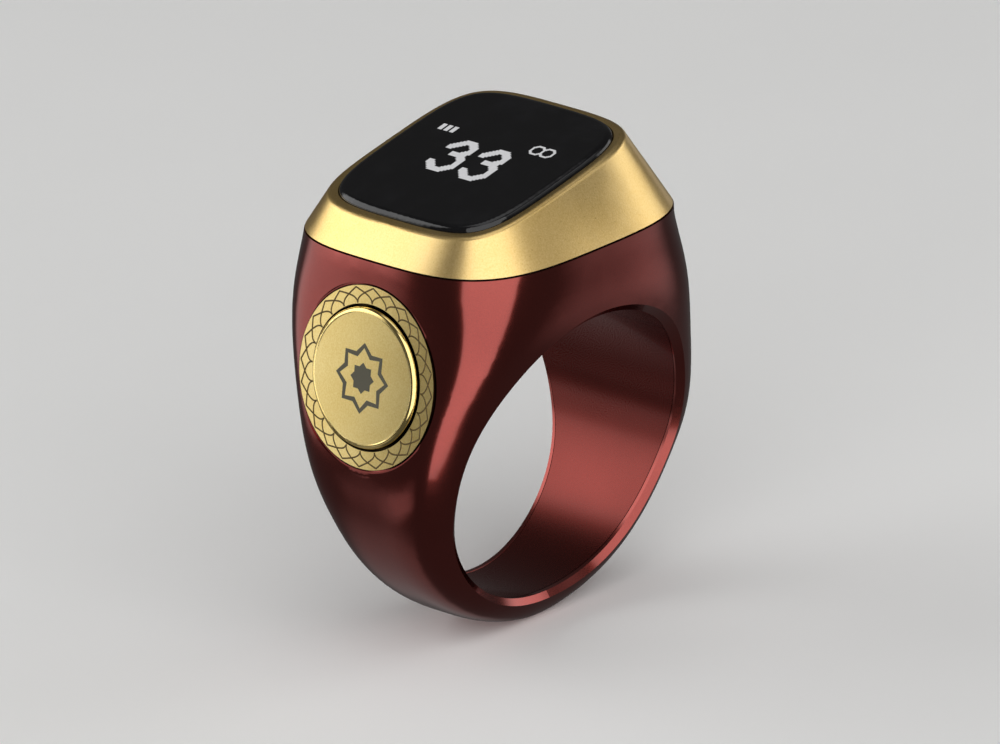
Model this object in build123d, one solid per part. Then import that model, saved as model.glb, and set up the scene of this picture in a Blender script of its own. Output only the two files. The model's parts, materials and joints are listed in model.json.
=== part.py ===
import math
import os

from build123d import *

# Finger-ring counter. Millimetres, with the finger along Y, the display towards +Z and the push button on
# the -X side. The origin is the centre of the finger bore.

# Fits and cuts shared by all pieces
overrun = 2.0               # how far a cutting tool passes the face that it cuts
seat_gap = 0.04             # round a piece that is fixed in its seat
slide_gap = 0.08            # round the button where it slides
pin_gap = 0.03              # round the motor's shaft and the screws
room_gap = 0.12             # between inner pieces that don't touch

# Finger bore and outer form of the body
bore_r = 10.0
band_thickness = 1.9        # below the finger
shoulder_thickness = 2.8    # beside the finger, at the widest height
head_rise = 4.85            # from the top of the bore up to the seam under the bezel
waist_height = 1.5          # widest height, above the bore centre
seam_half_x = 10.43
seam_half_y = 9.94
mouth_bevel = 0.48
lip_width = 0.56            # shell left at each mouth outside the liner

# Flat part of each side of a section, and the squareness of the seam's corners
side_share = 0.5
seam_corner_share = 0.76
# From the seam down to the waist: height, depth, then flare and corner on +X and on -X, as shares
head_shares = (
    (1.0, 1.0, 0.0, seam_corner_share, 0.0, seam_corner_share),
    (0.83, 0.985, 0.18, 0.775, 0.19, 0.85),
    (0.56, 0.928, 0.45, 0.86, 0.48, 0.945),
    (0.25, 0.80, 0.79, 0.91, 0.88, 0.96),
    (0.0, 0.71, 1.0, 0.92, 1.02, 0.95),
)
# Round the band: turn from the waist to the bottom, depth, then corner on +X and on -X, as shares
band_shares = (
    (0.22, 0.59, 0.90, 0.90),
    (0.44, 0.478, 0.87, 0.88),
    (0.63, 0.387, 0.85, 0.85),
    (0.78, 0.307, 0.83, 0.83),
    (0.92, 0.241, 0.80, 0.80),
    (0.975, 0.222, 0.78, 0.78),
)

# Liner and cover in the bore
liner_thickness = 0.46
cover_half_angle = 49.0     # degrees each side of straight up

# Electronics bay
bay_wall = 1.36             # from the seam's outline to the bay
bay_floor = 0.65            # shell between the liner's seat and the bay
tray_floor = 0.35           # tray under the middle of the battery

# Battery
battery_margin_x = 4.07     # from the bay's walls to the cell
battery_margin_y = 2.58
battery_thickness = 2.4
battery_round = 0.5
tab_width = 1.5
tab_thickness = 0.1
tab_spread = 4.0            # between the middles of the two tabs
tab_length = 1.5

# Main board and what is on it
board_thickness = 0.6
board_margin = 0.15         # from the board's edge to the bezel's spigot
# Middle and size along X and Y, as shares of the board's half sizes
processor_shares = (-0.145, 0.50, 0.45, 0.51)
charger_shares = (-0.12, -0.53, 0.30, 0.32)
crystal_shares = (-0.085, 0.0, 0.19, 0.26)
passive_shares = (-0.41, 0.0, 0.06, 0.077)
passive_pitch_share = 0.115
processor_height = 0.8
charger_height = 0.6
crystal_height = 0.5
passive_height = 0.4
passive_count = 5
screw_r = 0.5
screw_head_r = 0.85
screw_head_height = 0.35
screw_length = 2.2
screw_margin_x = 2.53       # from the bezel's spigot
screw_margin_y = 2.34

# Charging contacts
contact_r = 0.9
contact_pin_r = 0.45
contact_margin = 1.28       # from the bay's end

# Vibration motor, placed and sized on the board
motor_place_share = 0.53
motor_size_share = 0.362
motor_height = 1.7
motor_wall = 0.2
motor_shaft_r = 0.35
rotor_gap = 0.3             # from the rotor to the can
rotor_hub_r = 0.9
rotor_height = 0.7
rotor_sector = 190.0        # degrees of the heavy side

# Bezel, with its tilted top
bezel_tilt = 11.87          # degrees about Y, higher on +X
glass_x = -0.91
glass_rise = 3.83           # rim of the glass above the seam, at the glass's centre
gasket_thickness = 0.12
gasket_inset = 0.3
bezel_inset = 0.05          # from the seam's outline to the bezel's foot
bezel_rim = 0.55            # from the glass pocket to the bezel's outer edge
bezel_rim_round = 0.42
bezel_ledge = 0.5           # thickness of the ledge under the glass
spigot_wall = 0.6

# Glass and display
bezel_run_x = 2.88          # from the seam's outline to the glass
bezel_run_y = 2.72
glass_corner_share = 0.867
glass_proud = 0.35
glass_thickness = 1.1
glass_round = 0.45
adhesive_thickness = 0.1
opening_margin = 0.7        # from the glass's edge to the display opening
panel_margin_low = 1.85     # from the opening to the panel on -X
panel_margin_high = 2.45    # and on +X
panel_margin_y = 0.57
panel_front = 0.5
panel_back = 0.7
panel_ledge = 1.6           # bare strip for the ribbon
ribbon_width = 7.0
ribbon_thickness = 0.12
ribbon_lead = 0.3           # straight stretch beyond the panel's edge
ribbon_landing_share = 0.18 # stretch that lies on the board, of its half width

# Push button on the side
button_height_share = 0.752 # of the bore's radius
button_flare_share = 0.53   # of the way from the seam out to the waist
button_lean_share = 1.1     # of the side's slope
boss_flat_r = 6.1
boss_round = 0.9            # radius of its edge
boss_turn = 36.0            # degrees that the edge falls away
boss_slope = 0.2            # length of the slope below the edge
boss_hollow = 1.6           # radius of the hollow that runs out into the shank
boss_run_out = 20.0         # degrees that the hollow turns back
boss_depth = 1.5
boss_top_gap = 0.5          # below the seam
boss_width_share = 0.90     # width for its height
trim_r = 5.92
trim_bore_r = 4.7
trim_gap = 0.08             # groove left round the trim ring
trim_thickness = 0.45
trim_proud = 0.06
cap_proud = 0.42            # cap's face in front of the boss
cap_gap = 0.15              # dark gap left round the cap
cap_round = 0.3
flange_width = 0.45
flange_thickness = 0.3
button_travel = 0.3
stop_gap = 0.1              # left under the flange at full travel
post_r = 0.9
post_length = 0.1

# Switch behind the button
switch_size = 3.0
switch_height = 0.6
switch_floor = 0.1
switch_cover_thickness = 0.1
plunger_r = 0.65
plunger_flange_r = 0.95
plunger_flange_thickness = 0.12
plunger_reserve = 0.1       # plunger left above the switch at full travel
touch_gap = 0.02            # between the cap's post and the plunger
switch_board_low = 1.7      # from the button's axis down to the board's lower edge
switch_board_high = 2.2     # and up to its upper edge
switch_board_half_width = 2.0
switch_board_thickness = 0.2
tail_width = 3.0
tail_thickness = 0.15
tail_bend_r = 0.6
tail_landing = 1.0

# Worked out from the above
waist_half = bore_r + shoulder_thickness
bottom_r = bore_r + band_thickness
seam_z = bore_r + head_rise
liner_r = bore_r + liner_thickness
seat_r = liner_r + seat_gap
floor_r = seat_r + bay_floor
bay_half_x = seam_half_x - bay_wall
bay_half_y = seam_half_y - bay_wall
spigot_half_x = bay_half_x - seat_gap
spigot_half_y = bay_half_y - seat_gap
cavity_half_x = spigot_half_x - spigot_wall
cavity_half_y = spigot_half_y - spigot_wall
battery_half_x = bay_half_x - battery_margin_x
battery_half_y = bay_half_y - battery_margin_y
contact_y = bay_half_y - contact_margin
screw_x = cavity_half_x - screw_margin_x
screw_y = cavity_half_y - screw_margin_y
board_half_x = cavity_half_x - board_margin
board_half_y = cavity_half_y - board_margin
motor_x = board_half_x * motor_place_share
motor_r = board_half_x * motor_size_share
rotor_r = motor_r - motor_wall - rotor_gap
battery_low = floor_r + seat_gap + tray_floor
board_low = battery_low + battery_thickness + room_gap
board_high = board_low + board_thickness
bezel_low = seam_z + gasket_thickness
glass_half_x = seam_half_x - bezel_run_x
glass_half_y = seam_half_y - bezel_run_y
pocket_half_x = glass_half_x + seat_gap
pocket_half_y = glass_half_y + seat_gap
opening_half_x = glass_half_x - opening_margin
opening_half_y = glass_half_y - opening_margin
panel_low = opening_half_x - panel_margin_low
panel_high = opening_half_x - panel_margin_high
panel_half_y = opening_half_y - panel_margin_y
glass_under = glass_proud - glass_thickness
ledge_top = glass_under - adhesive_thickness
ledge_under = ledge_top - bezel_ledge
side_flare = waist_half - seam_half_x
button_x = seam_half_x + side_flare * button_flare_share
button_z = bore_r * button_height_share
trim_seat = trim_thickness - trim_proud
cap_r = trim_bore_r - cap_gap
flange_r = cap_r + flange_width
flange_front = trim_seat + slide_gap
flange_back = flange_front + flange_thickness
pocket_r = flange_r + slide_gap
pocket_depth = flange_back + button_travel + stop_gap
plunger_proud = button_travel + plunger_reserve
post_end = flange_back + post_length
plunger_top = post_end + touch_gap
switch_cover_top = plunger_top + plunger_proud
switch_top = switch_cover_top + switch_cover_thickness
switch_under = switch_top + switch_height
switch_board_under = switch_under + switch_board_thickness

tilt = math.radians(bezel_tilt)
lean = math.atan(button_lean_share * side_flare / (seam_z - waist_height))
finger_plane = Plane.XZ
glass_plane = Plane(
    origin=(glass_x, 0, seam_z + glass_rise),
    x_dir=(math.cos(tilt), 0, math.sin(tilt)),
    z_dir=(-math.sin(tilt), 0, math.cos(tilt)),
)
button_plane = Plane(
    origin=(-button_x, 0, button_z),
    x_dir=(0, -1, 0),
    z_dir=(-math.cos(lean), 0, math.sin(lean)),
)


# A quarter of an outline, from its side across X to its side across Y
def quarter(reach_x, reach_y, corner_share):
    shares = ((1, 0), (1, side_share), (1, corner_share), (corner_share, 1), (side_share, 1), (0, 1))
    return [(reach_x * across, reach_y * along) for across, along in shares]


# Square-ish outline with flat sides and soft corners, and a -X half of its own
def outline(right_x, right_share, left_x, left_share, half_y):
    return make_face([
        Bezier(*quarter(right_x, half_y, right_share)),
        Bezier(*reversed(quarter(-left_x, half_y, left_share))),
        Bezier(*quarter(-left_x, -half_y, left_share)),
        Bezier(*reversed(quarter(right_x, -half_y, right_share))),
    ])


# The same with both halves alike
def squircle(half_x, half_y, corner_share):
    return outline(half_x, corner_share, half_x, corner_share, half_y)


# Upright wall of such an outline between two heights of a plane
def prism(plane, half_x, half_y, corner_share, low, high):
    return plane * Pos(0, 0, low) * extrude(squircle(half_x, half_y, corner_share), high - low)


# Round bar along a plane's normal between two heights
def bar(plane, radius, low, high):
    place = plane * Pos(0, 0, low)
    return place * Cylinder(radius, high - low, align=(Align.CENTER, Align.CENTER, Align.MIN))


# Box between two corners in a plane's own directions
def block(plane, low, high):
    size = [top - bottom for bottom, top in zip(low, high)]
    return plane * Pos(*low) * Box(*size, align=(Align.MIN, Align.MIN, Align.MIN))


# Outside of the body, or the same form drawn in all round
def body_form(inset):
    sections = []
    for height_share, depth_share, right_flare, right_share, left_flare, left_share in head_shares:
        height = waist_height + (seam_z - waist_height) * height_share
        right_x = seam_half_x + side_flare * right_flare - inset
        left_x = seam_half_x + side_flare * left_flare - inset
        section = outline(right_x, right_share, left_x, left_share, seam_half_y * depth_share - inset)
        sections.append(Pos(0, 0, height) * section)
    left_waist = left_x
    for turn_share, depth_share, right_share, left_share in band_shares:
        turn = turn_share * math.pi / 2
        height = waist_height - (waist_height + bottom_r - inset) * math.sin(turn)
        right_x = (waist_half - inset) * math.cos(turn)
        left_x = left_waist * math.cos(turn)
        section = outline(right_x, right_share, left_x, left_share, seam_half_y * depth_share - inset)
        sections.append(Pos(0, 0, height) * section)
    return loft(sections)


# Sleeve round the finger, as long as the body
def finger_sleeve(inner_r, outer_r):
    reach = seam_half_y + overrun
    return bar(finger_plane, outer_r, -reach, reach) - bar(finger_plane, inner_r, -reach, reach)


# Wedge of space above the finger, that many degrees each side of straight up
def ceiling_wedge(half_angle):
    reach = seam_z + overrun
    spread = reach * math.tan(math.radians(half_angle))
    outline = make_face(Polyline((0, 0), (spread, reach), (-spread, reach), close=True))
    return extrude(finger_plane * outline, seam_half_y + overrun, both=True)


# Round boss that carries the button: a flat face, a soft edge, a slope and a hollow into the shank
def button_boss():
    face = Line((0, 0), (boss_flat_r, 0))
    edge = JernArc(face @ 1, (1, 0), boss_round, -boss_turn)
    slope = Line(edge @ 1, edge @ 1 + (edge % 1) * boss_slope)
    hollow = JernArc(slope @ 1, slope % 1, boss_hollow, boss_run_out)
    foot = hollow @ 1
    back = Polyline(foot, (foot.X, -boss_depth), (0, -boss_depth), (0, 0))
    profile = make_face([face, edge, slope, hollow, back])
    boss = button_plane * scale(revolve(Plane.XZ * profile, Axis.Z), (boss_width_share, 1, 1))
    reach = button_x + overrun
    low = (-reach, -reach, seam_z - boss_top_gap)
    return boss - block(Plane.XY, low, (reach, reach, seam_z + reach))


# Space of the electronics bay, or the same space drawn in all round
def bay_space(inset, high):
    reach = seam_half_y + overrun
    space = prism(Plane.XY, bay_half_x - inset, bay_half_y - inset, seam_corner_share, 0, high)
    return space - bar(finger_plane, floor_r + inset, -reach, reach)


# Recess for the switch and its board, with the way up into the bay for the ribbon
def switch_recess():
    half = switch_board_half_width + room_gap
    low = switch_board_low + room_gap
    deep = switch_board_under + seat_gap
    recess = block(button_plane, (-half, -low, -deep), (half, switch_board_high + room_gap, 0))
    return recess + ribbon(tail_path(), tail_thickness + 2 * room_gap, tail_width + 2 * room_gap)


def ring_shell():
    shell = body_form(0) + button_boss()
    shell -= bar(button_plane, boss_flat_r, 0, overrun)
    shell -= bar(finger_plane, bore_r, -seam_half_y - overrun, seam_half_y + overrun)
    mouth = [edge for edge in shell.edges() if on_bore(edge)]
    shell = chamfer(mouth, mouth_bevel)
    shell -= finger_sleeve(bore_r - overrun, seat_r) & body_form(lip_width)
    shell -= bay_space(0, seam_z + overrun)
    shell -= bar(button_plane, trim_r + trim_gap, -trim_seat, overrun)
    shell -= bar(button_plane, pocket_r, -pocket_depth, overrun)
    shell -= switch_recess()
    for side in (-1, 1):
        shell -= Pos(0, side * contact_y, 0) * bar(Plane.XY, contact_pin_r + seat_gap, bore_r, seam_z)
    return shell


# True for an edge that lies all along the bore's wall
def on_bore(edge):
    places = [edge.position_at(step / 4) for step in range(5)]
    return all(abs(math.hypot(place.X, place.Z) - bore_r) < seat_gap for place in places)


def inner_liner():
    sleeve = finger_sleeve(bore_r, liner_r) & body_form(lip_width + seat_gap)
    seam_angle = math.degrees(seat_gap / bore_r)
    return sleeve - ceiling_wedge(cover_half_angle + seam_angle)


def inner_cover():
    sleeve = finger_sleeve(bore_r, liner_r) & body_form(lip_width + seat_gap)
    cover = sleeve & ceiling_wedge(cover_half_angle)
    for side in (-1, 1):
        cover -= Pos(0, side * contact_y, 0) * bar(Plane.XY, contact_r + seat_gap, 0, seam_z)
    return cover


# Two pins from pads flush with the bore up to the board
def charging_contacts():
    reach = seam_half_y + overrun
    contact = bar(Plane.XY, contact_r, bore_r - overrun, liner_r - seat_gap)
    contact -= bar(finger_plane, bore_r, -reach, reach)
    contact += bar(Plane.XY, contact_pin_r, bore_r + seat_gap, board_low)
    return [Pos(0, side * contact_y, 0) * contact for side in (-1, 1)]


# Gold wedge frame, with the spigot that plugs into the bay
def display_bezel():
    foot = squircle(seam_half_x - bezel_inset, seam_half_y - bezel_inset, seam_corner_share)
    rim = squircle(pocket_half_x + bezel_rim, pocket_half_y + bezel_rim, glass_corner_share)
    bezel = loft([Pos(0, 0, bezel_low) * foot, glass_plane * rim], ruled=True)
    top = bezel.faces().sort_by(Axis((0, 0, 0), glass_plane.z_dir))[-1]
    bezel = fillet(top.edges(), bezel_rim_round)
    bezel += prism(Plane.XY, spigot_half_x, spigot_half_y, seam_corner_share, board_low + seat_gap, bezel_low)
    bezel -= prism(glass_plane, pocket_half_x, pocket_half_y, glass_corner_share, ledge_top, overrun)
    bezel -= prism(glass_plane, opening_half_x, opening_half_y, glass_corner_share, ledge_under - overrun, 0)
    bezel -= prism(Plane.XY, cavity_half_x, cavity_half_y, seam_corner_share, board_low - overrun, bezel_low)
    cavity_foot = Pos(0, 0, bezel_low) * squircle(cavity_half_x, cavity_half_y, seam_corner_share)
    cavity_top = squircle(opening_half_x, opening_half_y, glass_corner_share)
    cavity = loft([cavity_foot, glass_plane * Pos(0, 0, ledge_under) * cavity_top], ruled=True)
    return bezel - cavity


def bezel_gasket():
    outer_x = seam_half_x - gasket_inset
    outer_y = seam_half_y - gasket_inset
    gasket = prism(Plane.XY, outer_x, outer_y, seam_corner_share, seam_z, bezel_low)
    return gasket - prism(Plane.XY, bay_half_x, bay_half_y, seam_corner_share, seam_z, bezel_low)


def cover_glass():
    glass = prism(glass_plane, glass_half_x, glass_half_y, glass_corner_share, glass_under, glass_proud)
    top = glass.faces().sort_by(Axis((0, 0, 0), glass_plane.z_dir))[-1]
    return fillet(top.edges(), glass_round)


def glass_adhesive():
    frame = prism(glass_plane, glass_half_x, glass_half_y, glass_corner_share, ledge_top, glass_under)
    return frame - prism(
        glass_plane, opening_half_x, opening_half_y, glass_corner_share, ledge_top, glass_under
    )


# Front plate with a bare strip along one edge, and the shorter back plate
def oled_panel():
    middle = glass_under - panel_front
    back = middle - panel_back
    front_plate = block(
        glass_plane, (-panel_low, -panel_half_y, middle), (panel_high, panel_half_y, glass_under)
    )
    back_plate = block(
        glass_plane, (panel_ledge - panel_low, -panel_half_y, back), (panel_high, panel_half_y, middle)
    )
    return front_plate + back_plate


# Flat ribbon of the given width that follows a path in the XZ plane
def ribbon(path, thickness, width):
    return extrude(finger_plane * trace(path, thickness), width / 2, both=True)


# Ribbon from the panel's bare strip, round a bend, down onto the board
def oled_flex():
    level = glass_under - panel_front - ribbon_thickness / 2
    begin = glass_plane.from_local_coords((panel_ledge - panel_low - room_gap, 0, level))
    turn = glass_plane.from_local_coords((-panel_low - ribbon_lead, 0, level))
    landing_z = board_high + ribbon_thickness / 2
    bend_r = (turn.Z - landing_z) / (1 + math.cos(tilt))
    lead = Line((begin.X, begin.Z), (turn.X, turn.Z))
    bend = JernArc(lead @ 1, lead % 1, bend_r, 180 - bezel_tilt)
    landing = Line(bend @ 1, bend @ 1 + Vector(board_half_x * ribbon_landing_share, 0))
    return ribbon(Curve() + [lead, bend, landing], ribbon_thickness, ribbon_width)


# Saddle that sits on the bay's floor and carries the battery and the board
def battery_tray():
    tray = bay_space(seat_gap, board_low)
    half_x = battery_half_x + seat_gap
    half_y = battery_half_y + seat_gap
    tab_room = battery_half_y + tab_thickness + room_gap
    high = board_low + overrun
    tray -= block(Plane.XY, (-half_x, -half_y, battery_low), (half_x, tab_room, high))
    slot_half = switch_board_half_width + room_gap
    slot_x = tail_path().edges().sort_by(Axis.X)[-1].end_point().X + room_gap
    tray -= block(Plane.XY, (-seam_half_x, -slot_half, 0), (slot_x, slot_half, high))
    for side in (-1, 1):
        tray -= Pos(0, side * contact_y, 0) * bar(Plane.XY, contact_pin_r + seat_gap, 0, high)
        hole = bar(Plane.XY, screw_r + pin_gap, board_high - screw_length - room_gap, high)
        tray -= Pos(screw_x, side * screw_y, 0) * hole
    return tray


def battery_cell():
    high = (battery_half_x, battery_half_y, battery_low + battery_thickness)
    cell = block(Plane.XY, (-battery_half_x, -battery_half_y, battery_low), high)
    return fillet(cell.edges(), battery_round)


# Two tabs on the end of the cell, up to the board
def battery_tabs():
    end = battery_half_y
    tabs = []
    for middle in (-tab_spread / 2, tab_spread / 2):
        low = (middle - tab_width / 2, end, board_low - tab_length)
        tabs.append(block(Plane.XY, low, (middle + tab_width / 2, end + tab_thickness, board_low)))
    return tabs


def main_board():
    board = prism(Plane.XY, board_half_x, board_half_y, seam_corner_share, board_low, board_high)
    for side in (-1, 1):
        hole = bar(Plane.XY, screw_r + pin_gap, board_low - overrun, board_high + overrun)
        board -= Pos(screw_x, side * screw_y, 0) * hole
    return board


# Square package standing on the board
def board_package(shares, height):
    middle_x, size_x = (board_half_x * share for share in shares[::2])
    middle_y, size_y = (board_half_y * share for share in shares[1::2])
    low = (middle_x - size_x / 2, middle_y - size_y / 2, board_high)
    high = (middle_x + size_x / 2, middle_y + size_y / 2, board_high + height)
    return block(Plane.XY, low, high)


def bluetooth_chip():
    return board_package(processor_shares, processor_height)


def power_chip():
    return board_package(charger_shares, charger_height)


def crystal():
    return board_package(crystal_shares, crystal_height)


def board_passives():
    pitch = board_half_y * passive_pitch_share
    passive = board_package(passive_shares, passive_height)
    return [Pos(0, pitch * (i - (passive_count - 1) / 2), 0) * passive for i in range(passive_count)]


def board_screws():
    screw = bar(Plane.XY, screw_r, board_high - screw_length, board_high)
    screw += bar(Plane.XY, screw_head_r, board_high, board_high + screw_head_height)
    return [Pos(screw_x, side * screw_y, 0) * screw for side in (-1, 1)]


# Where the motor stands on the board
motor_plane = Plane(origin=(motor_x, 0, board_high))


def motor_base():
    return bar(motor_plane, motor_r - motor_wall - seat_gap, 0, motor_wall)


def motor_case():
    case = bar(motor_plane, motor_r, 0, motor_height)
    return case - bar(motor_plane, motor_r - motor_wall, -overrun, motor_height - motor_wall)


def motor_shaft():
    return bar(motor_plane, motor_shaft_r, motor_wall, motor_height - motor_wall)


# Heavy sector on a hub, off the shaft's centre
def motor_rotor():
    first = -rotor_sector / 2
    rim = CenterArc((0, 0), rotor_r, first, rotor_sector)
    sector = make_face([rim, Line(rim @ 1, (0, 0)), Line((0, 0), rim @ 0)])
    low = (motor_height - rotor_height) / 2
    rotor = motor_plane * Pos(0, 0, low) * extrude(sector, rotor_height)
    rotor += bar(motor_plane, rotor_hub_r, low, low + rotor_height)
    return rotor - bar(motor_plane, motor_shaft_r + pin_gap, 0, motor_height)


def button_trim_ring():
    ring = bar(button_plane, trim_r, -trim_seat, trim_proud)
    return ring - bar(button_plane, trim_bore_r, -trim_seat - overrun, overrun)


# Cap with the flange that the trim ring holds in, and the post that meets the switch
def button_cap():
    cap = bar(button_plane, cap_r, -flange_front, cap_proud)
    face = cap.faces().sort_by(Axis((0, 0, 0), button_plane.z_dir))[-1]
    cap = fillet(face.edges(), cap_round)
    cap += bar(button_plane, flange_r, -flange_back, -flange_front)
    return cap + bar(button_plane, post_r, -post_end, -flange_back)


def switch_body():
    half = switch_size / 2
    body = block(button_plane, (-half, -half, -switch_under), (half, half, -switch_top))
    return body - bar(button_plane, plunger_flange_r + pin_gap, switch_floor - switch_under, 0)


def switch_cover():
    half = switch_size / 2
    cover = block(button_plane, (-half, -half, -switch_top), (half, half, -switch_cover_top))
    return cover - bar(button_plane, plunger_r + pin_gap, -switch_top - overrun, 0)


# Stem through the switch's cover, held in by its flange
def switch_plunger():
    flange_top = -switch_top - pin_gap
    flange_under = flange_top - plunger_flange_thickness
    stem = bar(button_plane, plunger_r, flange_under, -plunger_top)
    return stem + bar(button_plane, plunger_flange_r, flange_under, flange_top)


def switch_board():
    half = switch_board_half_width
    low = (-half, -switch_board_low, -switch_board_under)
    return block(button_plane, low, (half, switch_board_high, -switch_under))


# Middle line of the ribbon from the switch's board up to the underside of the main board
def tail_path():
    level = -switch_board_under + tail_thickness / 2
    landing_z = board_low - tail_thickness / 2
    begin = button_plane.from_local_coords((0, switch_board_high, level))
    bend_z = landing_z - tail_bend_r * (1 - math.sin(lean))
    climb = (bend_z - begin.Z) * math.tan(lean)
    rise = Line((begin.X, begin.Z), (begin.X + climb, bend_z))
    bend = JernArc(rise @ 1, rise % 1, tail_bend_r, math.degrees(lean) - 90)
    landing = Line(bend @ 1, bend @ 1 + Vector(tail_landing, 0))
    return Curve() + [rise, bend, landing]


def switch_flex():
    return ribbon(tail_path(), tail_thickness, tail_width)


os.makedirs("parts", exist_ok=True)
pieces = (
    ring_shell, inner_liner, inner_cover, charging_contacts, display_bezel, bezel_gasket, cover_glass,
    glass_adhesive, oled_panel, oled_flex, battery_tray, battery_cell, battery_tabs, main_board,
    bluetooth_chip, power_chip, crystal, board_passives, board_screws, motor_base, motor_case, motor_shaft,
    motor_rotor, button_trim_ring, button_cap, switch_body, switch_cover, switch_plunger, switch_board,
    switch_flex,
)
for piece in pieces:
    shape = piece()
    if isinstance(shape, list):
        shape = Compound(children=shape)
    export_step(shape, f"parts/{piece.__name__}.step")
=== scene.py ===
import json
import math

import bmesh
import bpy
from mathutils import Matrix, Vector


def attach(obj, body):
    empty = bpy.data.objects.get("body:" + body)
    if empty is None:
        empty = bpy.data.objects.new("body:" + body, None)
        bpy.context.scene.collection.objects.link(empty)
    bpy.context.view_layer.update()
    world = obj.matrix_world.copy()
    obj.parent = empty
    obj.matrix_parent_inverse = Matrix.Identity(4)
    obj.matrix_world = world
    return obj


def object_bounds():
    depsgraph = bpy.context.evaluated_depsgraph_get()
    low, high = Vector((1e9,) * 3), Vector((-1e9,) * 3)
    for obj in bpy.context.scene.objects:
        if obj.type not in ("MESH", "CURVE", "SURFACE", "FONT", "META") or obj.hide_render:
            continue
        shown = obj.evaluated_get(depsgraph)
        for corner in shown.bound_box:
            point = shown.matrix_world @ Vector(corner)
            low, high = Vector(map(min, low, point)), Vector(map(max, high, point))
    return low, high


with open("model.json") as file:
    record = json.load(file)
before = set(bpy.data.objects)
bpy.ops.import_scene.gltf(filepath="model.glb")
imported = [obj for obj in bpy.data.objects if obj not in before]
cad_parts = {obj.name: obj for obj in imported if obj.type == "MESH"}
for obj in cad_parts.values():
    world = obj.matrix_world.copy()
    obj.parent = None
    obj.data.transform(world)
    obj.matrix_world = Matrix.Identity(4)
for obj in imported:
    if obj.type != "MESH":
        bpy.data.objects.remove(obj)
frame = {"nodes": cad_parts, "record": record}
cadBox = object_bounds()
nodes = frame["nodes"]
mm = 0.001
weld = 0.001 * mm    # vertices nearer than this become one
print("frame loaded,", len(nodes), "nodes")

# Where the glass and the button lie in the frame, in millimetres and degrees
glassPlace = dict(centre=(-0.91, 0, 18.68), tilt=11.87, top=0.35)
buttonPlace = dict(centre=(-11.6861, 0, 7.52), lean=11.050, capTop=0.42, trimTop=0.06)


# right, up and out of a tilted face, with its centre, as a matrix in metres
def faceFrame(right, up, centre):
    out = right.cross(up)
    matrix = Matrix((right, up, out)).transposed().to_4x4()
    matrix.translation = Vector(centre) * mm
    return matrix


tilt = math.radians(glassPlace["tilt"])
lean = math.radians(buttonPlace["lean"])
toFront = Vector((0, -1, 0))
glassFace = faceFrame(toFront, Vector((math.cos(tilt), 0, math.sin(tilt))), glassPlace["centre"])
buttonFace = faceFrame(toFront, Vector((math.sin(lean), 0, math.cos(lean))), buttonPlace["centre"])
buttonAxis = buttonFace.to_3x3() @ Vector((0, 0, 1))
buttonCentre = buttonFace.translation


# An output socket that takes sums: each operator adds its Math node
class Signal:
    def __init__(self, finish, socket):
        self.finish = finish
        self.socket = socket

    def maths(self, operation, first, second):
        return self.finish.add("ShaderNodeMath", {"operation": operation}, {0: first, 1: second})

    def __add__(self, other):
        return self.maths("ADD", self, other)

    def __sub__(self, other):
        return self.maths("SUBTRACT", self, other)

    def __rsub__(self, other):
        return self.maths("SUBTRACT", other, self)

    def __mul__(self, other):
        return self.maths("MULTIPLY", self, other)

    def __pow__(self, other):
        return self.maths("POWER", self, other)

    __radd__ = __add__
    __rmul__ = __mul__


# A material or a lamp while its nodes are laid
class Finish:
    def __init__(self, owner):
        self.owner = owner
        owner.use_nodes = True
        self.tree = owner.node_tree
        self.tree.nodes.clear()

    # any node: its settings first, then the values or links of its sockets
    def add(self, kind, settings=None, sockets=None, out=0):
        node = self.tree.nodes.new(kind)
        for key, value in (settings or {}).items():
            setattr(node, key, value)
        for key, value in (sockets or {}).items():
            if isinstance(value, Signal):
                self.tree.links.new(value.socket, node.inputs[key])
            else:
                node.inputs[key].default_value = value
        return Signal(self, node.outputs[out]) if len(node.outputs) else None

    def noise(self, scale, detail, roughness=0.5):
        return self.add("ShaderNodeTexNoise", None, {
            "Vector": self.place, "Scale": scale, "Detail": detail, "Roughness": roughness})

    def blendColour(self, factor, first, second):
        return self.add("ShaderNodeMix", {"data_type": "RGBA"}, {0: factor, 6: first, 7: second}, out=2)

    # 0 up to the first value, 1 from the second on
    def step(self, value, low, high):
        return self.add("ShaderNodeMapRange", {"interpolation_type": "SMOOTHSTEP"}, {
            "Value": value, "From Min": low, "From Max": high, "To Min": 0.0, "To Max": 1.0})

    # distance from the line through a point
    def fromAxis(self, centre, axis):
        offset = self.add("ShaderNodeVectorMath", {"operation": "SUBTRACT"}, {0: self.place, 1: centre})
        along = self.add("ShaderNodeVectorMath", {"operation": "DOT_PRODUCT"}, {0: offset, 1: axis}, out="Value")
        whole = self.add("ShaderNodeVectorMath", {"operation": "LENGTH"}, {0: offset}, out="Value")
        return (whole * whole - along * along) ** 0.5

    def bump(self, height, strength, distance, under=None):
        sockets = {"Height": height, "Strength": strength, "Distance": distance}
        return self.add("ShaderNodeBump", None, {**sockets, "Normal": under} if under else sockets)

    def shade(self, **sockets):
        named = {key.replace("_", " "): value for key, value in sockets.items()}
        shader = self.add("ShaderNodeBsdfPrincipled", None, named)
        self.add("ShaderNodeOutputMaterial", None, {"Surface": shader})
        return self.owner


# a new material, which reads places on the object itself
def newFinish(name):
    finish = Finish(bpy.data.materials.new(name))
    finish.place = finish.add("ShaderNodeTexCoord", out="Object")
    return finish


def colour(red, green, blue):
    return (red, green, blue, 1.0)


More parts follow.
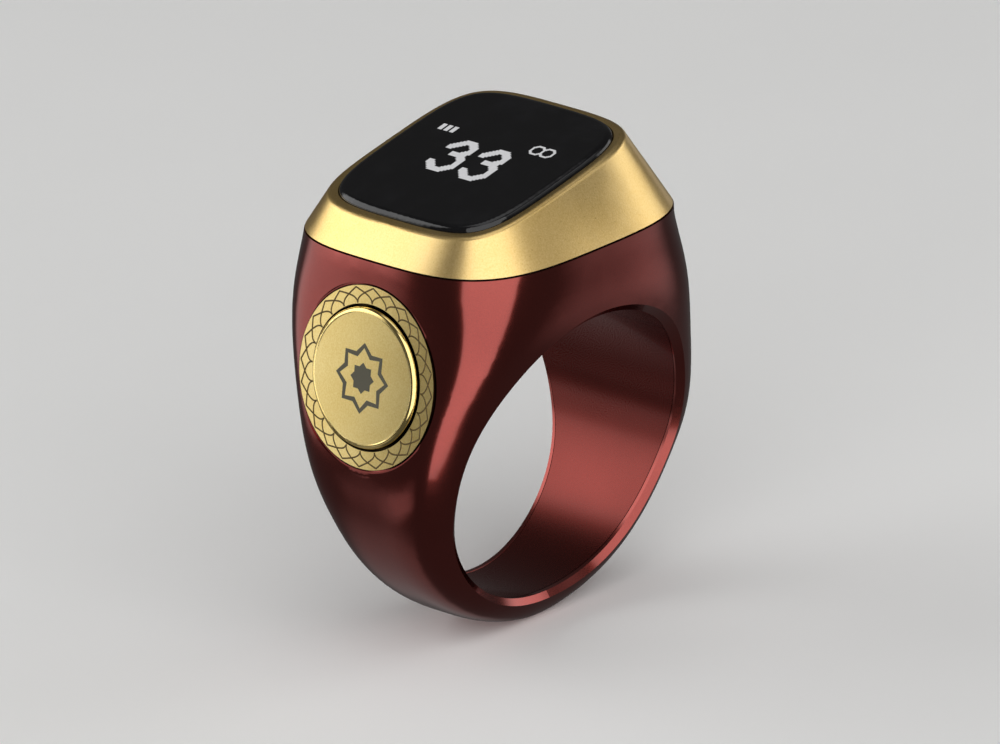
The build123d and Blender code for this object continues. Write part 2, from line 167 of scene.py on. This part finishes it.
# Deep red metallic lacquer under a clear coat: wide clouds and fine flakes between two tones, and a little
# orange peel
lacquerLook = dict(
    deep=colour(0.250, 0.043, 0.035), bright=colour(0.325, 0.060, 0.048), toneFrom=0.3, toneTo=0.7,
    cloudScale=110.0, cloudDetail=3.0, cloudShare=0.55,
    flakeScale=16000.0, flakeDetail=1.0, flakeShare=0.45, rough=0.13, roughSpread=0.07,
    peelScale=1400.0, peelDetail=2.0, peelStrength=0.05, peelDepth=0.000004, coat=0.45, coatRough=0.04)
linerLook = dict(
    lacquerLook, deep=colour(0.165, 0.029, 0.023), bright=colour(0.215, 0.039, 0.032), rough=0.24, coat=0.15)


def redLacquer(name, look):
    finish = newFinish(name)
    cloud = finish.noise(look["cloudScale"], look["cloudDetail"])
    flake = finish.noise(look["flakeScale"], look["flakeDetail"])
    mixed = cloud * look["cloudShare"] + flake * look["flakeShare"]
    tone = finish.step(mixed, look["toneFrom"], look["toneTo"])
    peel = finish.noise(look["peelScale"], look["peelDetail"])
    return finish.shade(
        Base_Color=finish.blendColour(tone, look["deep"], look["bright"]),
        Metallic=1.0, Roughness=flake * look["roughSpread"] + look["rough"],
        Coat_Weight=look["coat"], Coat_Roughness=look["coatRough"],
        Normal=finish.bump(peel, look["peelStrength"], look["peelDepth"]))


# Gold with a fine blasted grain, and a near-black tone used as painted shade in the button's grooves
goldLook = dict(
    deep=colour(0.75, 0.505, 0.168), bright=colour(0.90, 0.665, 0.298), paintedGrooveShade=colour(0.02, 0.012, 0.004),
    toneFrom=0.3, toneTo=0.7, cloudScale=160.0, cloudDetail=2.0, cloudShare=0.4,
    grainScale=9000.0, grainDetail=3.0, grainBite=0.65, grainShare=0.6, grainDepth=0.000012, grainStrength=0.55,
    rough=0.24, roughSpread=0.12)
# The cap and the trim ring: the bezel's gold painted lighter, as painted light, with a little more roughness
paintedLitButtonGold = dict(goldLook, deep=colour(0.84, 0.61, 0.20), bright=colour(0.98, 0.79, 0.35), rough=0.28)


# rings: radii on a piece of the button. Inside of one and outside of another the gold is painted near-black as painted
# shade in the grooves, from a third on the rim is polished, and the face within it is slightly crowned.
def blastedGold(name, look, rings=None):
    finish = newFinish(name)
    grain = finish.noise(look["grainScale"], look["grainDetail"], look["grainBite"])
    cloud = finish.noise(look["cloudScale"], look["cloudDetail"])
    mixed = cloud * look["cloudShare"] + grain * look["grainShare"]
    tone = finish.step(mixed, look["toneFrom"], look["toneTo"])
    rough = grain * look["roughSpread"] + look["rough"]
    height = grain
    under = None
    metal = finish.blendColour(tone, look["deep"], look["bright"])
    if rings:
        radius = finish.fromAxis(buttonCentre, buttonAxis)
        edge = finish.step(radius, rings["polish"] * mm, (rings["polish"] + rings["blend"]) * mm)
        rough = rough * (1 - edge) + edge * rings["polishRough"]
        height = grain * (1 - edge)
        # painted shade: the gold turns near-black inside the inner radius and outside the outer one, where the grooves
        # lie in shade
        outer = finish.step(radius, rings["outer"] * mm, (rings["outer"] + rings["soft"]) * mm)
        inner = finish.step(radius, (rings["inner"] - rings["soft"]) * mm, rings["inner"] * mm)
        metal = finish.blendColour(outer + (1 - inner), metal, look["paintedGrooveShade"])
        across = finish.add("ShaderNodeSeparateXYZ", None, {0: finish.place}, out="Y")
        under = finish.bump(0 - across * across * (1 - edge), 1.0, rings["crown"])
    return finish.shade(
        Base_Color=metal, Metallic=1.0, Roughness=rough,
        Normal=finish.bump(height, look["grainStrength"], look["grainDepth"], under))


# Black polished glass with a breath of smears
glassLook = dict(
    deep=colour(0.004, 0.004, 0.0045), bright=colour(0.007, 0.007, 0.008), rough=0.03, bend=1.5,
    smear=0.06, smearScale=420.0, smearDetail=4.0, smearBite=0.6, smearFrom=0.45, smearTo=0.75)


def blackGlass(name, look):
    finish = newFinish(name)
    cloud = finish.noise(look["smearScale"], look["smearDetail"], look["smearBite"])
    smear = finish.step(cloud, look["smearFrom"], look["smearTo"])
    return finish.shade(
        Base_Color=finish.blendColour(smear, look["deep"], look["bright"]),
        Roughness=smear * look["smear"] + look["rough"], IOR=look["bend"])


# Plain inner finishes: two tones, metal or not, roughness and the scale of their grain
innerLooks = dict(
    black_gasket=dict(deep=(0.010, 0.010, 0.010), bright=(0.022, 0.022, 0.022), metal=0.0, rough=0.75, grain=6000.0),
    black_adhesive=dict(deep=(0.012, 0.012, 0.012), bright=(0.02, 0.02, 0.02), metal=0.0, rough=0.6, grain=5000.0),
    display=dict(deep=(0.004, 0.004, 0.005), bright=(0.008, 0.008, 0.010), metal=0.0, rough=0.15, grain=2500.0),
    ribbon=dict(deep=(0.20, 0.085, 0.018), bright=(0.30, 0.14, 0.035), metal=0.0, rough=0.35, grain=1800.0),
    board=dict(deep=(0.006, 0.05, 0.022), bright=(0.012, 0.085, 0.04), metal=0.0, rough=0.4, grain=1500.0),
    chip=dict(deep=(0.012, 0.012, 0.013), bright=(0.025, 0.025, 0.027), metal=0.0, rough=0.55, grain=9000.0),
    ceramic=dict(deep=(0.24, 0.17, 0.10), bright=(0.36, 0.27, 0.17), metal=0.0, rough=0.5, grain=6000.0),
    steel=dict(deep=(0.42, 0.42, 0.43), bright=(0.58, 0.58, 0.59), metal=1.0, rough=0.32, grain=5000.0),
    cell_foil=dict(deep=(0.45, 0.46, 0.48), bright=(0.60, 0.61, 0.63), metal=1.0, rough=0.38, grain=1200.0),
    contact=dict(deep=(0.72, 0.50, 0.17), bright=(0.88, 0.66, 0.28), metal=1.0, rough=0.25, grain=5000.0),
    tray=dict(deep=(0.014, 0.014, 0.015), bright=(0.028, 0.028, 0.03), metal=0.0, rough=0.6, grain=5000.0),
    rotor_metal=dict(deep=(0.16, 0.16, 0.165), bright=(0.26, 0.26, 0.265), metal=1.0, rough=0.5, grain=7000.0),
    switch_plastic=dict(deep=(0.014, 0.014, 0.015), bright=(0.03, 0.03, 0.032), metal=0.0, rough=0.5, grain=6000.0),
    plunger=dict(deep=(0.55, 0.53, 0.46), bright=(0.68, 0.66, 0.60), metal=0.0, rough=0.45, grain=6000.0),
)
# how the grain shows in all of them
innerGrain = dict(detail=3.0, toneFrom=0.35, toneTo=0.65, roughSpread=0.2, strength=0.2, depth=0.000008)


def innerFinish(name, look, texture):
    finish = newFinish(name)
    grain = finish.noise(look["grain"], texture["detail"])
    tone = finish.step(grain, texture["toneFrom"], texture["toneTo"])
    return finish.shade(
        Base_Color=finish.blendColour(tone, colour(*look["deep"]), colour(*look["bright"])),
        Metallic=look["metal"],
        Roughness=grain * texture["roughSpread"] + (look["rough"] - texture["roughSpread"] / 2),
        Normal=finish.bump(grain, texture["strength"], texture["depth"]))


# Dark lines and marks on the gold
markLook = dict(
    line=colour(0.125, 0.080, 0.020), lineDeep=colour(0.085, 0.055, 0.014),
    star=colour(0.100, 0.092, 0.062), starDeep=colour(0.075, 0.070, 0.050), metal=0.35, rough=0.5,
    roughSpread=0.2, grainScale=9000.0, grainDetail=3.0, grainStrength=0.3, grainDepth=0.00001)


def darkMark(name, deep, bright, look):
    finish = newFinish(name)
    grain = finish.noise(look["grainScale"], look["grainDetail"])
    return finish.shade(
        Base_Color=finish.blendColour(grain, look[deep], look[bright]), Metallic=look["metal"],
        Roughness=grain * look["roughSpread"] + (look["rough"] - look["roughSpread"] / 2),
        Normal=finish.bump(grain, look["grainStrength"], look["grainDepth"]))


# Lit dots of the display
dotLook = dict(
    lit=colour(0.60, 0.60, 0.61), dim=colour(0.50, 0.50, 0.51), strength=1.0, body=colour(0.02, 0.02, 0.02), rough=0.4,
    flickerScale=5000.0, flickerDetail=1.0)


def litDots(name, look):
    finish = newFinish(name)
    flicker = finish.noise(look["flickerScale"], look["flickerDetail"])
    return finish.shade(
        Base_Color=look["body"], Roughness=look["rough"],
        Emission_Color=finish.blendColour(flicker, look["dim"], look["lit"]), Emission_Strength=look["strength"])


# Radii of the cap and of the trim ring in millimetres, with painted groove shade inside inner and outside outer, and
# with the roughness of the rim and the bow of the face
capRings = dict(inner=0.0, outer=4.53, soft=0.02, polish=4.19, blend=0.08, polishRough=0.09, crown=8.0)
trimRings = dict(inner=4.73, outer=5.88, soft=0.015, polish=6.0, blend=0.1, polishRough=0.3, crown=12.0)
finishes = {slot: innerFinish(slot + "Finish", look, innerGrain) for slot, look in innerLooks.items()}
finishes["red_body"] = redLacquer("redBody", lacquerLook)
finishes["red_liner"] = redLacquer("redLiner", linerLook)
finishes["gold_bezel"] = blastedGold("goldBezel", goldLook)
finishes["gold_trim"] = blastedGold("goldTrim", paintedLitButtonGold, trimRings)
finishes["gold_cap"] = blastedGold("goldCap", paintedLitButtonGold, capRings)
finishes["black_glass"] = blackGlass("blackGlass", glassLook)
for part in frame["record"]["subparts"]:
    for slot in nodes[part["node"]].material_slots:
        slot.material = finishes[part["material_slot"]]
print("finishes laid on", len(nodes), "nodes")


# A finished bmesh becomes a piece that moves with a body
def addPiece(name, bm, material, body):
    bmesh.ops.remove_doubles(bm, verts=bm.verts, dist=weld)
    bmesh.ops.recalc_face_normals(bm, faces=bm.faces)
    mesh = bpy.data.meshes.new(name)
    bm.to_mesh(mesh)
    bm.free()
    mesh.materials.append(material)
    piece = bpy.data.objects.new(name, mesh)
    bpy.context.scene.collection.objects.link(piece)
    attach(piece, body)
    print(name, len(mesh.polygons), "faces")


# Raise a flat sheet into a thin plate and set it on a face
def raisePlate(bm, thickness, face, height):
    raised = bmesh.ops.extrude_face_region(bm, geom=bm.faces[:])["geom"]
    tops = [item for item in raised if isinstance(item, bmesh.types.BMVert)]
    bmesh.ops.translate(bm, verts=tops, vec=(0, 0, thickness * mm))
    bmesh.ops.transform(bm, verts=bm.verts, matrix=face @ Matrix.Translation((0, 0, height * mm)))


# Figures on the display, drawn dot by dot with a square pen. Places are from the glass's centre.
display = dict(
    thickness=0.006, sink=0.002, dotWeld=0.005, flatAngle=0.01,
    figurePitch=0.160, figurePen=3, figurePlaces=((-2.84, -2.29), (0.02, -2.29)),
    figureLines=(
        ((0, 16), (5, 21), (8, 21), (11, 18), (11, 15), (8, 12)),
        ((5, 12), (9, 12), (12, 9), (12, 4), (8, 0), (4, 0), (0, 4))),
    barPitch=0.170, barPen=2, barPlace=(-5.06, 1.86),
    barLines=(((0, 0), (0, 2)), ((3, 0), (3, 2)), ((6, 0), (6, 2))),
    loopPitch=0.0805, loopPen=2, loopPlace=(2.715, 1.925),
    loopLines=(
        ((3, 11), (8, 11), (11, 8), (11, 3), (8, 0), (3, 0), (0, 3), (0, 8), (3, 11)),
        ((11, 8), (14, 11), (19, 11), (22, 8), (22, 3), (19, 0), (14, 0), (11, 3))))


# one figure: every dot that a square pen covers along its lines, laid once
def stampFigure(bm, lines, pen, place, pitch):
    dots = set()
    for line in lines:
        for (fromX, fromY), (toX, toY) in zip(line, line[1:]):
            steps = max(abs(toX - fromX), abs(toY - fromY))
            for i in range(steps + 1):
                x = fromX + round((toX - fromX) * i / steps)
                y = fromY + round((toY - fromY) * i / steps)
                dots.update((x + across, y + along) for across in range(pen) for along in range(pen))
    for x, y in sorted(dots):
        middle = Matrix.Translation(((place[0] + (x + 0.5) * pitch) * mm, (place[1] + (y + 0.5) * pitch) * mm, 0))
        bmesh.ops.create_grid(bm, x_segments=1, y_segments=1, size=pitch * mm / 2, matrix=middle)


def makeDisplayFigures(look):
    bm = bmesh.new()
    for place in look["figurePlaces"]:
        stampFigure(bm, look["figureLines"], look["figurePen"], place, look["figurePitch"])
    stampFigure(bm, look["barLines"], look["barPen"], look["barPlace"], look["barPitch"])
    stampFigure(bm, look["loopLines"], look["loopPen"], look["loopPlace"], look["loopPitch"])
    bmesh.ops.remove_doubles(bm, verts=bm.verts, dist=look["dotWeld"] * mm)
    bmesh.ops.dissolve_limit(bm, angle_limit=look["flatAngle"], verts=bm.verts, edges=bm.edges)
    raisePlate(bm, look["thickness"], glassFace, glassPlace["top"] - look["sink"])
    addPiece("display_figures", bm, litDots("litDots", dotLook), "ring")


# Interlaced pointed arches, engraved all round the trim ring
arches = dict(
    count=24, footRadius=4.76, tipRadius=5.78, wire=0.054, wireRounds=1, flatten=0.35, lift=0.004,
    bend=((0.0, 0.0), (0.0, 0.45), (0.45, 0.62), (1.0, 1.0)), resolution=10)


def makeTrimArches(look):
    pitch = 2 * math.pi / look["count"]
    spread = look["tipRadius"] - look["footRadius"]
    curve = bpy.data.curves.new("archLine", "CURVE")
    curve.dimensions = "3D"
    curve.bevel_depth = look["wire"] * mm
    curve.bevel_resolution = look["wireRounds"]
    curve.use_fill_caps = True
    ends = [look["bend"][0], look["bend"][3]]
    hands = [look["bend"][1], look["bend"][2]]

    # a share of the pitch and of the height becomes a point of the ring
    def onRing(share):
        turn = pitch * share[0]
        radius = (look["footRadius"] + spread * share[1]) * mm
        return Vector((math.sin(turn) * radius, math.cos(turn) * radius, 0))

    line = curve.splines.new("BEZIER")
    line.bezier_points.add(1)
    line.resolution_u = look["resolution"]
    for point, end, hand in zip(line.bezier_points, ends, hands):
        point.co = onRing(end)
        point.handle_left_type = point.handle_right_type = "FREE"
        point.handle_left = point.handle_right = onRing(hand)
    holder = bpy.data.objects.new("archLine", curve)
    mesh = bpy.data.meshes.new_from_object(holder)
    bm = bmesh.new()
    bm.from_mesh(mesh)
    bpy.data.objects.remove(holder)
    bpy.data.meshes.remove(mesh)
    bmesh.ops.remove_doubles(bm, verts=bm.verts, dist=weld)
    bmesh.ops.scale(bm, vec=(1, 1, look["flatten"]), verts=bm.verts)
    # the other side of the arch, then all the arches
    bmesh.ops.mirror(bm, geom=bm.verts[:] + bm.edges[:] + bm.faces[:], axis="X", merge_dist=0,
                     matrix=Matrix.Rotation(pitch, 4, "Z"))
    bmesh.ops.spin(bm, geom=bm.verts[:] + bm.edges[:] + bm.faces[:], cent=(0, 0, 0), axis=(0, 0, 1),
                   angle=2 * math.pi - pitch, steps=look["count"] - 1, use_duplicate=True)
    matrix = buttonFace @ Matrix.Translation((0, 0, (buttonPlace["trimTop"] + look["lift"]) * mm))
    bmesh.ops.transform(bm, verts=bm.verts, matrix=matrix)
    dark = darkMark("archLines", "lineDeep", "line", markLook)
    addPiece("trim_arches", bm, dark, "ring")


# Eight-pointed star on the cap
star = dict(
    points=8, outer=2.30, inner=1.76, band=0.34, coreOuter=1.02, coreInner=0.78, thickness=0.012, sink=0.004)


# outline of a star from a round of vertices, every other one drawn in
def starLine(bm, points, outer, inner, filled):
    made = bmesh.ops.create_circle(bm, cap_ends=filled, segments=2 * points, radius=outer * mm)
    bmesh.ops.scale(bm, vec=(inner / outer, inner / outer, 1), verts=made["verts"][1::2])
    return list({edge for vert in made["verts"] for edge in vert.link_edges})


def makeCapStar(look):
    bm = bmesh.new()
    rim = starLine(bm, look["points"], look["outer"], look["inner"], False)
    rim += starLine(bm, look["points"], look["outer"] - look["band"], look["inner"] - look["band"], False)
    bmesh.ops.bridge_loops(bm, edges=rim)
    starLine(bm, look["points"], look["coreOuter"], look["coreInner"], True)
    raisePlate(bm, look["thickness"], buttonFace, buttonPlace["capTop"] - look["sink"])
    dark = darkMark("capStar", "starDeep", "star", markLook)
    addPiece("cap_star", bm, dark, "button")


makeDisplayFigures(display)
makeTrimArches(arches)
makeCapStar(star)
print("new pieces made")

# Stage: a pale floor under the band, which mirrors nothing into the lacquer
floorLook = dict(
    half=3.0, low=colour(0.86, 0.86, 0.85), high=colour(0.90, 0.90, 0.89), rough=0.8, glow=0.05,
    toneScale=30.0, toneDetail=3.0)


def makeFloor(look):
    bm = bmesh.new()
    bmesh.ops.create_grid(bm, x_segments=1, y_segments=1, size=look["half"],
                          matrix=Matrix.Translation((0, 0, cadBox[0][2])))
    mesh = bpy.data.meshes.new("floor")
    bm.to_mesh(mesh)
    bm.free()
    finish = newFinish("paleFloor")
    tone = finish.noise(look["toneScale"], look["toneDetail"])
    pale = finish.blendColour(tone, look["low"], look["high"])
    mesh.materials.append(finish.shade(
        Base_Color=pale, Roughness=look["rough"], Emission_Color=pale, Emission_Strength=look["glow"]))
    floor = bpy.data.objects.new("floor", mesh)
    bpy.context.scene.collection.objects.link(floor)
    floor.visible_glossy = False
    floor.visible_shadow = False


makeFloor(floorLook)

# Soft boxes: compass direction and height in degrees, width and height in metres, brightness, share of the
# width that fades out at each edge
boxDistance = 0.6
softBoxes = dict(
    front=dict(turn=234, rise=15, size=(1.08, 1.56), bright=1.5, fade=(0.05, 0.05)),
    bridge=dict(turn=304, rise=38, size=(0.50, 0.40), bright=0.36, fade=(0.35, 0.35)),
    overhead=dict(turn=304, rise=51, size=(0.48, 0.14), bright=0.75, fade=(0.3, 0.4)),
    right=dict(turn=-26, rise=18, size=(0.44, 0.34), bright=1.65, fade=(0.25, 0.25)),
    lowRight=dict(turn=-30, rise=-25, size=(0.46, 0.30), bright=0.42, fade=(0.45, 0.45)),
    left=dict(turn=120, rise=22, size=(0.66, 0.58), bright=1.95, fade=(0.26, 0.15)),
    lowLeft=dict(turn=118, rise=-9, size=(0.64, 0.24), bright=0.85, fade=(0.26, 0.3)),
    ledge=dict(turn=148, rise=-34, size=(0.46, 0.22), bright=0.36, fade=(0.4, 0.4)),
    low=dict(turn=90, rise=-58, size=(0.95, 0.44), bright=0.16, fade=(0.3, 0.3)),
    back=dict(turn=18, rise=0, size=(0.34, 0.26), bright=0.5, fade=(0.4, 0.4)),
    top=dict(turn=0, rise=88, size=(0.60, 0.60), bright=0.9, fade=(0.3, 0.3)),
)
boxAim = Vector((0, 0, 6)) * mm    # all boxes face the middle of the ring


def direction(turn, rise):
    turn, rise = math.radians(turn), math.radians(rise)
    return Vector((math.cos(turn) * math.cos(rise), math.sin(turn) * math.cos(rise), math.sin(rise)))


# the cloth of a soft box is dimmer towards its edges
def fadeEdges(lamp, fade):
    finish = Finish(lamp)
    spot = finish.add("ShaderNodeNewGeometry", out="Parametric")
    strength = 1.0
    for axis, width in enumerate(fade):
        share = finish.add("ShaderNodeSeparateXYZ", None, {0: spot}, out=axis)
        strength = finish.step(share, 0.0, width) * finish.step(1 - share, 0.0, width) * strength
    glow = finish.add("ShaderNodeEmission", None, {"Strength": strength})
    finish.add("ShaderNodeOutputLight", None, {"Surface": glow})


for name, box in softBoxes.items():
    lamp = bpy.data.lights.new(name, "AREA")
    lamp.shape = "RECTANGLE"
    lamp.size, lamp.size_y = box["size"]
    lamp.energy = box["bright"] * math.pi * box["size"][0] * box["size"][1]
    fadeEdges(lamp, box["fade"])
    holder = bpy.data.objects.new(name, lamp)
    outward = direction(box["turn"], box["rise"])
    holder.location = boxAim + outward * boxDistance
    holder.rotation_euler = outward.to_track_quat("Z", "Y").to_euler()
    holder.visible_camera = False
    bpy.context.scene.collection.objects.link(holder)

# Faint light of the room
roomLook = dict(tint=colour(1.0, 0.98, 0.97), strength=0.08)
world = bpy.data.worlds.new("studio")
world.use_nodes = True
world.node_tree.nodes["Background"].inputs["Color"].default_value = roomLook["tint"]
world.node_tree.nodes["Background"].inputs["Strength"].default_value = roomLook["strength"]
bpy.context.scene.world = world
bpy.context.scene.view_settings.view_transform = "Standard"

# Camera as in the photograph: long lens, slightly rolled, aimed at the middle of the frame
camera = dict(
    turn=-44.874, rise=21.066, roll=-3.284, away=0.930611, lens=525.568, sensor=36.0, near=0.05, aim=(-0.100, 3.927))


def makeCamera(look):
    turn, rise, roll = (math.radians(look[key]) for key in ("turn", "rise", "roll"))
    back = Vector((math.sin(turn) * math.cos(rise), -math.cos(turn) * math.cos(rise), math.sin(rise)))
    level = Vector((math.cos(turn), math.sin(turn), 0))
    upright = back.cross(level)
    right = level * math.cos(roll) + upright * math.sin(roll)
    up = upright * math.cos(roll) - level * math.sin(roll)
    matrix = Matrix((right, up, back)).transposed().to_4x4()
    matrix.translation = back * look["away"] + (right * look["aim"][0] + up * look["aim"][1]) * mm
    lens = bpy.data.cameras.new("camera")
    lens.lens = look["lens"]
    lens.sensor_width = look["sensor"]
    lens.sensor_fit = "HORIZONTAL"
    lens.clip_start = look["near"]
    holder = bpy.data.objects.new("camera", lens)
    holder.matrix_world = matrix
    bpy.context.scene.collection.objects.link(holder)
    bpy.context.scene.camera = holder


makeCamera(camera)
print("stage, lights and camera set")
